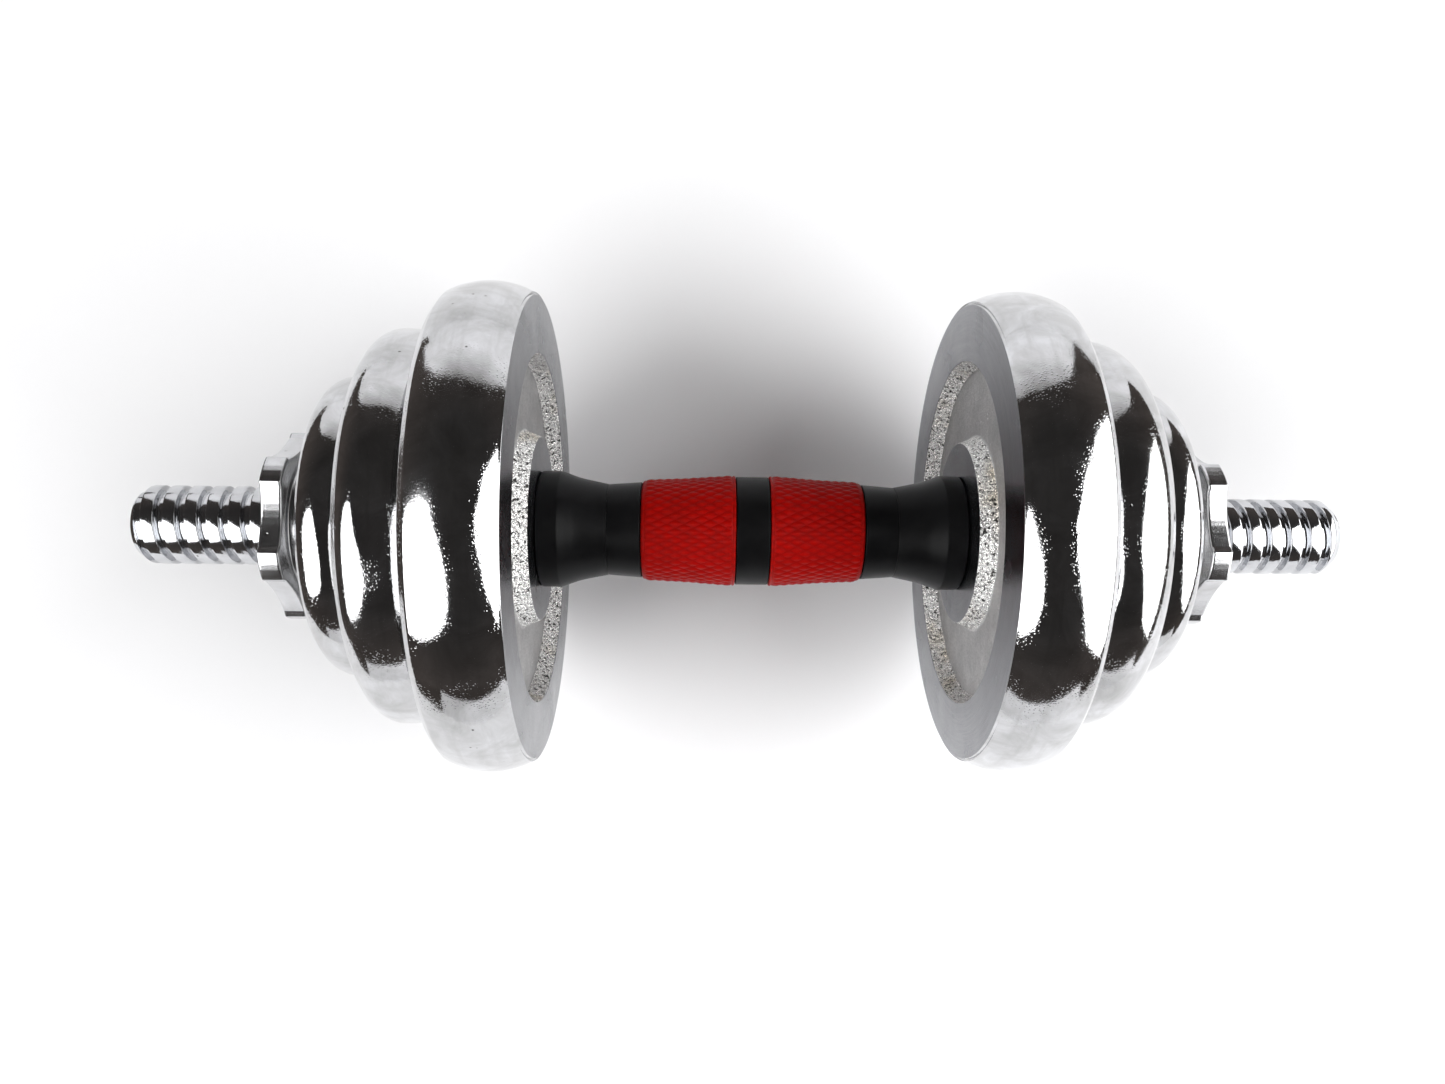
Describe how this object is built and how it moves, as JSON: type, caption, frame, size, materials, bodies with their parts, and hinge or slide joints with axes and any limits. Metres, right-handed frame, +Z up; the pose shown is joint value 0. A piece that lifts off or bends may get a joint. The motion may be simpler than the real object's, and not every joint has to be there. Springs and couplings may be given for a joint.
{
  "type": "adjustable dumbbell",
  "caption": "Adjustable hand weight with stacked chromed plates held on a threaded bar by star nuts, and a padded grip between them.",
  "frame": {"origin": "middle of the bar, on its axis", "axes": "+X along the bar towards its right end, +Y to the back and +Z up"},
  "size_m": [0.39, 0.1564, 0.1564],
  "materials": {
    "chrome": "bright chrome plate on steel",
    "chromed_casting": "chrome plate on cast iron, mirror rim, satin ground faces, rough recess",
    "bare_steel": "plain turned steel",
    "black_plastic": "satin moulded",
    "red_rubber": "soft rubber with a scaly non-slip texture",
    "black_rubber": "matt"
  },
  "bodies": {
    "bar": {"threaded_bar": "chrome", "grip_core": "black_plastic", "grip_sleeve_right": "red_rubber", "grip_sleeve_left": "red_rubber", "flare_cover_right": "black_plastic", "flare_cover_left": "black_plastic", "stop_collar_right": "bare_steel", "stop_collar_left": "bare_steel", "stop_pin_right": "bare_steel", "stop_pin_left": "bare_steel"},
    "big_plate_right": {"big_plate_right": "chromed_casting"},
    "mid_plate_right": {"mid_plate_right": "chromed_casting"},
    "small_plate_right": {"small_plate_right": "chromed_casting"},
    "star_nut_right": {"star_nut_right": "chrome", "nut_ring_right": "black_rubber"},
    "big_plate_left": {"big_plate_left": "chromed_casting"},
    "mid_plate_left": {"mid_plate_left": "chromed_casting"},
    "small_plate_left": {"small_plate_left": "chromed_casting"},
    "star_nut_left": {"star_nut_left": "chrome", "nut_ring_left": "black_rubber"}
  },
  "joints": [
    {"name": "big_plate_slide_right", "type": "slide", "parent": "bar", "child": "big_plate_right", "axis": [1, 0, 0], "range_m": [0, 0.0168]},
    {"name": "mid_plate_slide_right", "type": "slide", "parent": "bar", "child": "mid_plate_right", "axis": [1, 0, 0], "range_m": [0, 0.0336]},
    {"name": "small_plate_slide_right", "type": "slide", "parent": "bar", "child": "small_plate_right", "axis": [1, 0, 0], "range_m": [0, 0.05025]},
    {"name": "nut_spin_right", "type": "hinge", "parent": "small_plate_right", "child": "star_nut_right", "pos_m": [0.1411, 0, 0], "axis": [1, 0, 0], "range_deg": [0, 2701]},
    {"name": "big_plate_slide_left", "type": "slide", "parent": "bar", "child": "big_plate_left", "axis": [-1, 0, 0], "range_m": [0, 0.0168]},
    {"name": "mid_plate_slide_left", "type": "slide", "parent": "bar", "child": "mid_plate_left", "axis": [-1, 0, 0], "range_m": [0, 0.0336]},
    {"name": "small_plate_slide_left", "type": "slide", "parent": "bar", "child": "small_plate_left", "axis": [-1, 0, 0], "range_m": [0, 0.05025]},
    {"name": "nut_spin_left", "type": "hinge", "parent": "small_plate_left", "child": "star_nut_left", "pos_m": [-0.1411, 0, 0], "axis": [-1, 0, 0], "range_deg": [0, 2701]}
  ],
  "couplings": [
    {"joint": "big_plate_slide_right", "follows": "small_plate_slide_right", "ratio": 0.33333},
    {"joint": "mid_plate_slide_right", "follows": "small_plate_slide_right", "ratio": 0.66667},
    {"joint": "nut_spin_right", "follows": "small_plate_slide_right", "rad_per_m": 937.79},
    {"joint": "big_plate_slide_left", "follows": "small_plate_slide_left", "ratio": 0.33333},
    {"joint": "mid_plate_slide_left", "follows": "small_plate_slide_left", "ratio": 0.66667},
    {"joint": "nut_spin_left", "follows": "small_plate_slide_left", "rad_per_m": 937.79}
  ]
}
